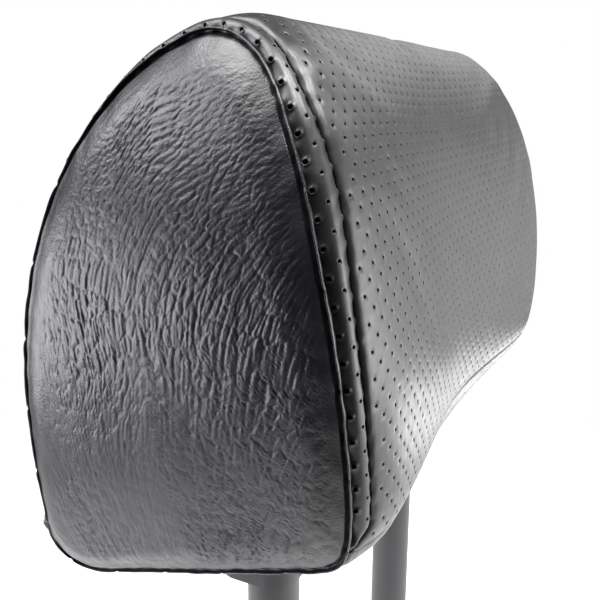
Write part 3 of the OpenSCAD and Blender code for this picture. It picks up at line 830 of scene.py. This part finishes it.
def stitch_row(name, side, node_name):
    """Single stitches that sink at both ends, along the inner seam."""
    points, faces = [], []
    sections, sides = 9, 6
    turn = np.linspace(0, 2 * np.pi, sides, endpoint=False)
    s = np.linspace(-0.5, 0.5, sections)
    for start in np.arange(B_FRONT + FIRST_STITCH, B_REAR - FIRST_STITCH, STITCH / 2):
        b = start + s * STITCH_LENGTH
        x = side * (seam_x(t_at(b)) + STITCH_LEAN * np.sign(s) * s ** 2)
        line = leather_point(x, b, THREAD_SINK + THREAD_END_DIP * np.abs(2 * s) ** 4)
        base = len(points)
        along = np.gradient(line, axis=0)
        along /= np.linalg.norm(along, axis=1)[:, None]
        up = leather_point(x, b, -1.0) - leather_point(x, b, 0.0)
        up -= along * (up * along).sum(1)[:, None]
        up /= np.linalg.norm(up, axis=1)[:, None]
        across = np.cross(along, up)
        for p, o, c in zip(line, up, across):
            points.extend(p + THREAD_R * (math.cos(a) * o + math.sin(a) * c) for a in turn)
        rings = [[base + r * sides + q for q in range(sides)] for r in range(sections)]
        for r in range(sections - 1):
            join_rings(faces, rings[r], rings[r + 1])
        faces.append(tuple(rings[0][::-1]))
        faces.append(tuple(rings[-1]))
    obj = add_mesh(name, points, faces, [THREAD])
    recalc(obj)
    finish_piece(obj, node_name)


stitch_row("topstitch_row_right", 1, "topstitch_right")
stitch_row("topstitch_row_left", -1, "topstitch_left")

# ------------------------------------------------------------------ grain leather sides

SIDE_CELLS = 280
# places along the creases, in pebbles: a pebble is 2.2 mm long at the top, 6.8 mm lower down
Z_STEPS = np.linspace(-20, 220, 481)
PEBBLE_LONG = 2.2 + 4.6 * step(160, 105, Z_STEPS)
ALONG_STEPS = np.cumsum((Z_STEPS[1] - Z_STEPS[0]) / PEBBLE_LONG)
# the outline's points down the back, from the lowest up
REAR_EDGE = OUTLINE[15:7:-1]
FAN_FOCUS = (20, -95)
FAN_SPREAD = 190
TOP_LEAN = 0.0085
PEBBLE_DEPTH, PEBBLE_LOSS, FINE_DEPTH = 0.31, 0.08, 0.11
LINE_DEPTH, HAIRLINE_DEPTH = 0.19, 0.10


def side_relief(y, z, seed):
    """Outward relief of a side panel: long upright creases that break up into pebbles."""
    # level lines of flow are the creases: they fan out upwards and lean forward at the top
    flow = np.arctan2(y - FAN_FOCUS[0], z - FAN_FOCUS[1]) * FAN_SPREAD
    forward = 0.55 + 0.45 * step(40, -50, y)
    flow = flow + TOP_LEAN * forward * np.maximum(0, z - 110) ** 2
    flow = flow + 1.8 * noise(y / 21, z / 31, seed) + 0.8 * noise(y / 7.5, z / 12, seed + 1)
    flow = flow + 0.30 * noise(y / 2.9, z / 4.5, seed + 10)
    along = np.interp(z, Z_STEPS, ALONG_STEPS) + 0.5 * noise(y / 7, z / 10, seed + 2)
    along = along + 0.25 * noise(y / 3, z / 4, seed + 11)
    pebble = cell_edge(flow / 1.75, along, seed + 3)
    fine = cell_edge(flow / 1.0 + 3.1, along * 2.0, seed + 5)
    # long lines lie where smooth noise crosses zero, and only in the lower part
    line = np.abs(noise(flow / 1.25, z / 12 + 0.3 * noise(y / 6, z / 9, seed + 14), seed + 20))
    hairline = np.abs(noise(flow / 0.85, z / 6, seed + 22))
    low = step(158, 118, z)
    relief = -(PEBBLE_DEPTH - PEBBLE_LOSS * low) * np.exp(-(pebble / 0.17) ** 2)
    relief = relief - FINE_DEPTH * np.exp(-(fine / 0.22) ** 2)
    relief = relief - low * (LINE_DEPTH * np.exp(-(line / 0.32) ** 2)
                             + HAIRLINE_DEPTH * np.exp(-(hairline / 0.4) ** 2))
    relief = relief + 0.08 * noise(flow / 3.4, along / 2.0, seed + 7)
    # the creases fade out towards the back, the top and the bottom
    rear = np.interp(z, REAR_EDGE[:, 1], REAR_EDGE[:, 0]) - y
    creased = step(3, 20, rear) * step(190, 172, z) * step(6, 30, z + 0.2 * y)
    creased = 0.08 + 0.92 * creased
    uneven = 0.80 + 0.35 * noise(y / 19, z / 27, seed + 9)
    broad = 0.5 * noise(y / 30, z / 55, seed + 6) + 0.15 * noise(y / 11, z / 30, seed + 8)
    return creased * uneven * relief + 0.6 * broad


def disc_grid(n):
    """Square grid bent onto the panel: share of the way round, and r from 0 to 1."""
    a, b = np.meshgrid(np.linspace(-1, 1, n + 1), np.linspace(-1, 1, n + 1))
    r = np.maximum(np.abs(a), np.abs(b))
    safe = np.maximum(r, 1e-9)
    right = (a >= np.abs(b)) & (r > 0)
    top = (b > np.abs(a))
    left = (a <= -np.abs(b)) & (r > 0) & ~top
    around = np.where(right, b / safe / 8, np.where(top, 0.25 - a / safe / 8,
                      np.where(left, 0.5 - b / safe / 8, 0.75 + a / safe / 8)))
    return around % 1.0, r


# Profile across the side seam as (outwards in the panel's plane, outwards of the panel):
# the panel dips, its turned edge stands up as a thin lip, then falls under the strip.
SEAM_PROFILE = [(-1.9, -0.65), (-1.45, -1.2), (-1.15, -1.8), (-0.85, -1.85), (-0.62, -0.95),
                (-0.50, -0.15), (-0.32, 0.10), (-0.10, -0.08), (-0.08, -0.7), (-0.35, -1.6),
                (-1.1, -2.6)]
# points of the profile from this height up belong to the lip
LIP_FROM = -0.5
# the creased part ends 2.4 mm short of the seam, on a panel about 75 mm from middle to rim
CREASED_R = 1 - 2.4 / 75.0


def panel_relief(t, r, side, seed):
    """Outward relief of a side panel with its seam's pull, its puckers and its rolled top."""
    flat = side_skin(t, r, side)
    out_edge = side_skin(t, 1.0, side)
    from_rim = np.linalg.norm((out_edge - flat)[..., 1:], axis=-1)
    b = b_at(t)
    relief = side_relief(flat[..., 1], flat[..., 2], seed) * step(1.5, 8, from_rim)
    relief = relief + SIDE_RISE[side](t, r) * step(2, 14, from_rim)
    relief = relief - 0.55 * np.exp(-((from_rim - 1.9) / 2.2) ** 2)
    relief = relief - 1.2 * np.exp(-(from_rim / 5.5) ** 2) * step(150, 182, flat[..., 2])
    pucker = np.cos(2 * np.pi * b / (2 * STITCH) + 1.3 * noise(b / 25, 0 * b, seed + 12))
    return relief + 0.14 * pucker * np.exp(-(from_rim / 6.0) ** 2)


def side_panel(name, side, seed, node_name):
    """Grain leather end of the cushion, with its turned edge in the seam."""
    share, r = disc_grid(SIDE_CELLS)
    t = t_at(share * B_END)
    r = r * CREASED_R
    points = side_skin(t, r, side, panel_relief(t, r, side, seed)).reshape(-1, 3)
    n = SIDE_CELLS + 1
    faces = grid_faces(n, n)
    border = grid_border(n, n)
    t_edge = t.reshape(-1)[border]
    b_edge = b_at(t_edge)
    rim = skin(t_edge, float(side), 0.0)
    plane_out = outward_at(t_edge)
    tug = 1 + 0.25 * (pulled(b_edge, seed + 21) - 1)
    wave = 0.16 * noise(b_edge / 5, 0 * b_edge, seed + 30)
    # a short dip in the lip at every fourth pull of the seam
    notch = 0.55 * np.maximum(0, np.cos(np.pi * b_edge / (2 * STITCH))) ** 40
    stacks = [points]
    previous, base = border, len(points)
    for sideways_in, up in SEAM_PROFILE:
        ring = rim.copy()
        away = sideways_in + wave
        ring[:, 1] += plane_out[:, 0] * away
        ring[:, 2] += plane_out[:, 1] * away
        in_lip = up >= LIP_FROM
        ring[:, 0] += side * (up + 0.5 * wave - notch if in_lip else up * tug)
        stacks.append(ring)
        current = list(range(base, base + len(border)))
        join_rings(faces, previous, current)
        previous, base = current, base + len(border)
    obj = add_mesh(name, np.concatenate(stacks), faces, [GRAIN])
    recalc(obj)
    finish_piece(obj, node_name)


side_panel("side_leather_left", -1, 31, "side_panel_left")
side_panel("side_leather_right", 1, 57, "side_panel_right")

# ------------------------------------------------------------------ underside

# the post openings, as in the CAD
BEZEL_AT = (-8.5, 23.5)
BEZEL_TILT = math.radians(-20.5)
POST_X = 70.0
OPENING = (10.5, 21.5)
OPENING_RIM = 7
UNDER_INSET = 1.3
UNDER_CELL = 1.6
UNDER_COLUMNS = 161
# the sheet's edge tucked into the seam, as (share of the way out, depth)
TUCK = ((1.0015, 0.9), (1.003, 2.2))


def underside():
    """Grain leather under the cushion, with a pulled edge round each post opening."""
    rows = int((B_END - B_REAR - 2 * SEAM_GAP) / UNDER_CELL)
    b_rows = np.linspace(B_REAR + SEAM_GAP, B_END - SEAM_GAP, rows)
    b, u = np.meshgrid(b_rows, np.linspace(-1, 1, UNDER_COLUMNS), indexing="ij")
    t = t_at(b)
    width = half_width(outline_at(t)[..., 1]) - UNDER_INSET
    x = u * width
    across = u * width / (width + UNDER_INSET)
    edge = np.minimum(width - np.abs(x), np.minimum(b - b_rows[0], b_rows[-1] - b))
    depth = 0.45 * np.exp(-(edge / 2.2) ** 2) * pulled(b + x, 41)
    depth = depth + 0.22 * noise(x / 22, b / 13, 43) + 0.10 * noise(x / 6, b / 5, 44)
    depth = depth + 0.30 * np.abs(noise(x / 15, b / 9, 45)) * step(0, 10, edge)
    depth = depth - 0.5 * WRAP_RISE(t, u) * step(2, 12, edge)
    # distances from the middle of the nearer opening, across and along it
    from_post = np.abs(np.abs(x) - POST_X)
    level = skin(t, across)
    along = ((level[..., 1] - BEZEL_AT[0]) * math.cos(BEZEL_TILT)
             + (level[..., 2] - BEZEL_AT[1]) * math.sin(BEZEL_TILT))
    along = np.abs(along)
    ring = np.maximum(from_post / (OPENING[0] + OPENING_RIM), along / (OPENING[1] + OPENING_RIM))
    depth = depth * step(0.9, 1.35, ring) + 0.35 * np.exp(-((ring - 1.05) / 0.10) ** 2)
    keep = (np.maximum(from_post - OPENING[0], along - OPENING[1]) > 0).reshape(-1)
    faces = [f for f in grid_faces(rows, UNDER_COLUMNS) if all(keep[v] for v in f)]
    stacks = [skin(t, across, depth).reshape(-1, 3)]
    border = grid_border(rows, UNDER_COLUMNS)
    t_edge, x_edge, depth_edge = (v.reshape(-1)[border] for v in (t, x, depth))
    share = x_edge / half_width(outline_at(t_edge)[..., 1])
    previous, base = border, keep.size
    for reach, sink in TUCK:
        stacks.append(skin(t_edge, share * reach, sink + depth_edge))
        current = list(range(base, base + len(border)))
        join_rings(faces, previous, current)
        previous, base = current, base + len(border)
    points = np.concatenate(stacks)
    used = sorted({v for f in faces for v in f})
    place = {v: i for i, v in enumerate(used)}
    obj = add_mesh("underside_leather", points[used],
                   [tuple(place[v] for v in f) for f in faces], [GRAIN])
    recalc(obj)
    finish_piece(obj, "bottom_panel")


underside()

# ------------------------------------------------------------------ foam body

SKIN_ROOM = 2.6 * MM
CARRIER_GAP = 0.4 * MM
POST_ROOM = (9.0, 19.9)
POST_ROOM_LOW, POST_ROOM_HIGH = -12, 30


def box_cutter(name, low, high, turn=0.0, at=(0, 0, 0)):
    """Box from low to high, then turned about x and moved to at."""
    mesh = bpy.data.meshes.new(name)
    bm = bmesh.new()
    bmesh.ops.create_cube(bm, size=1.0)
    size = Vector(high) - Vector(low)
    middle = (Vector(high) + Vector(low)) / 2
    matrix = (Matrix.Translation(Vector(at)) @ Matrix.Rotation(turn, 4, "X")
              @ Matrix.Translation(middle) @ Matrix.Diagonal((*size, 1)))
    bmesh.ops.transform(bm, matrix=matrix, verts=bm.verts)
    bm.to_mesh(mesh)
    bm.free()
    obj = bpy.data.objects.new(name, mesh)
    bpy.context.scene.collection.objects.link(obj)
    return obj


def finish_foam(obj):
    """Draws the swollen form in under the covers and cuts the room for carrier and posts."""
    shrink = obj.modifiers.new("shrink", "DISPLACE")
    shrink.mid_level = 0.0
    shrink.strength = -SKIN_ROOM
    smooth = obj.modifiers.new("round", "SUBSURF")
    smooth.levels = smooth.render_levels = 1
    apply_modifiers(obj)
    low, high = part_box("carrier_front")
    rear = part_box("carrier_screws")[1]
    gap = Vector((1, 1, 1)) * CARRIER_GAP
    cutters = [box_cutter("carrier_room", Vector(low) - gap,
                          Vector((high[0], rear[1], high[2])) + gap)]
    room_low = Vector((-POST_ROOM[0], -POST_ROOM[1], POST_ROOM_LOW)) * MM
    room_high = Vector((POST_ROOM[0], POST_ROOM[1], POST_ROOM_HIGH)) * MM
    for side in (-1, 1):
        opening = Vector((side * POST_X, *BEZEL_AT)) * MM
        cutters.append(box_cutter(f"post_room_{side}", room_low, room_high, BEZEL_TILT, opening))
    for cutter in cutters:
        cut = obj.modifiers.new(cutter.name, "BOOLEAN")
        cut.operation = "DIFFERENCE"
        cut.solver = "EXACT"
        cut.object = cutter
    apply_modifiers(obj)
    for cutter in cutters:
        bpy.data.objects.remove(cutter)
    obj.data.materials.clear()
    obj.data.materials.append(FOAM)
    finish_piece(obj, "foam_core")


finish_foam(foam)

# ------------------------------------------------------------------ camera, lights, floor

CAMERA_AT = Vector((-292.1, -120.5, 169.3)) * MM
YAW, PITCH_DOWN = math.radians(26.17), math.radians(15.04)
FOCAL = 45.1
FILM = 36.0
look = Vector((math.cos(YAW) * math.cos(PITCH_DOWN), math.sin(YAW) * math.cos(PITCH_DOWN),
               -math.sin(PITCH_DOWN)))
camera = bpy.data.objects.new("camera", bpy.data.cameras.new("camera"))
camera.data.lens = FOCAL
camera.data.sensor_width = FILM
camera.data.clip_start = 0.01
camera.location = CAMERA_AT
camera.rotation_euler = look.to_track_quat("-Z", "Y").to_euler()
bpy.context.scene.collection.objects.link(camera)
bpy.context.scene.camera = camera


def area_light(name, at, target, size, watts, color=(1, 1, 1)):
    """Rectangular lamp at a point, turned towards a target."""
    data = bpy.data.lights.new(name, "AREA")
    data.shape = "RECTANGLE"
    data.size, data.size_y = size
    data.energy = watts
    data.color = color
    light = bpy.data.objects.new(name, data)
    light.location = at
    light.rotation_euler = (Vector(target) - Vector(at)).to_track_quat("-Z", "Y").to_euler()
    bpy.context.scene.collection.objects.link(light)


# the side panel takes its sheen from the rear left, the wrap from the front right; the glints
# are the two highlights on the strip, and the overhead lamp lights the top and the floor
COOL = (0.96, 0.95, 1.0)
area_light("rear_left_low", (-0.45, 0.62, -0.02), (0, 0, 0.1), (0.60, 0.42), 6.3, COOL)
area_light("rear_left_floor", (-0.46, 0.32, -0.11), (-0.14, 0, 0.09), (0.30, 0.12), 0.5, COOL)
area_light("rear_left_high", (-0.62, 0.90, 0.85), (0, 0, 0.1), (0.9, 0.5), 17, COOL)
area_light("front_right_low", (0.72, -0.36, 0.06), (0, -0.05, 0.1), (0.52, 0.44), 0.78)
area_light("front_right_high", (0.85, -0.12, 0.52), (0, -0.05, 0.15), (0.9, 0.3), 1.5)
area_light("front_right_floor", (0.38, -0.19, -0.13), (0, -0.055, 0.04), (0.20, 0.10), 0.42)
area_light("front", (0.42, -0.66, 0.08), (0, -0.05, 0.1), (0.45, 0.5), 4.5)
area_light("front_left_low", (0.0, -0.48, 0.0), (-0.13, -0.05, 0.1), (0.40, 0.26), 1.6)
area_light("glint", (0.49, -0.51, 0.96), (-0.12, -0.03, 0.18), (0.20, 0.30), 9)
area_light("glint_high", (0.0, -0.46, 1.07), (-0.12, -0.03, 0.18), (0.22, 0.22), 13)
area_light("overhead", (-0.22, 0.22, 1.20), (0, 0, 0.1), (0.8, 0.8), 28)

# the camera sees a white background, and the piece reflects a dark room
ROOM_COLOR, BACKDROP_COLOR = (0.015, 0.015, 0.016), (1, 1, 1)
bpy.context.scene.view_settings.view_transform = "Standard"
world = bpy.data.worlds.new("studio")
world.use_nodes = True
room = world.node_tree.nodes["Background"]
room.inputs["Color"].default_value = (*ROOM_COLOR, 1)
seen = world.node_tree.nodes.new("ShaderNodeBackground")
seen.inputs["Color"].default_value = (*BACKDROP_COLOR, 1)
path = world.node_tree.nodes.new("ShaderNodeLightPath")
pick = world.node_tree.nodes.new("ShaderNodeMixShader")
world.node_tree.links.new(path.outputs["Is Camera Ray"], pick.inputs["Fac"])
world.node_tree.links.new(room.outputs["Background"], pick.inputs[1])
world.node_tree.links.new(seen.outputs["Background"], pick.inputs[2])
world.node_tree.links.new(pick.outputs["Shader"],
                          world.node_tree.nodes["World Output"].inputs["Surface"])
bpy.context.scene.world = world

FLOOR_HALF = 3.0
FLOOR_DROP = 0.5 * MM
FADE_FROM, FADE_TO = 0.22, 0.50
floor_z = cad_box[0][2] - FLOOR_DROP
floor_mesh = bpy.data.meshes.new("floor")
floor_corners = [(x * FLOOR_HALF, y * FLOOR_HALF, floor_z)
                 for x, y in ((-1, -1), (1, -1), (1, 1), (-1, 1))]
floor_mesh.from_pydata(floor_corners, [], [(0, 1, 2, 3)])
floor = bpy.data.objects.new("floor", floor_mesh)
bpy.context.scene.collection.objects.link(floor)
floor_mat, floor_bsdf = principled("pale_floor", (0.9, 0.9, 0.9), 0.7)
# the floor fades out, so that its edge is not seen against the background
g = Graph(floor_mat, floor_bsdf)
away = g.node("ShaderNodeVectorMath", operation="LENGTH")
g.link(g.coord, away.inputs[0])
g.link(g.ramp(away.outputs["Value"], FADE_FROM, FADE_TO, 1, 0), floor_bsdf.inputs["Alpha"])
floor_mesh.materials.append(floor_mat)
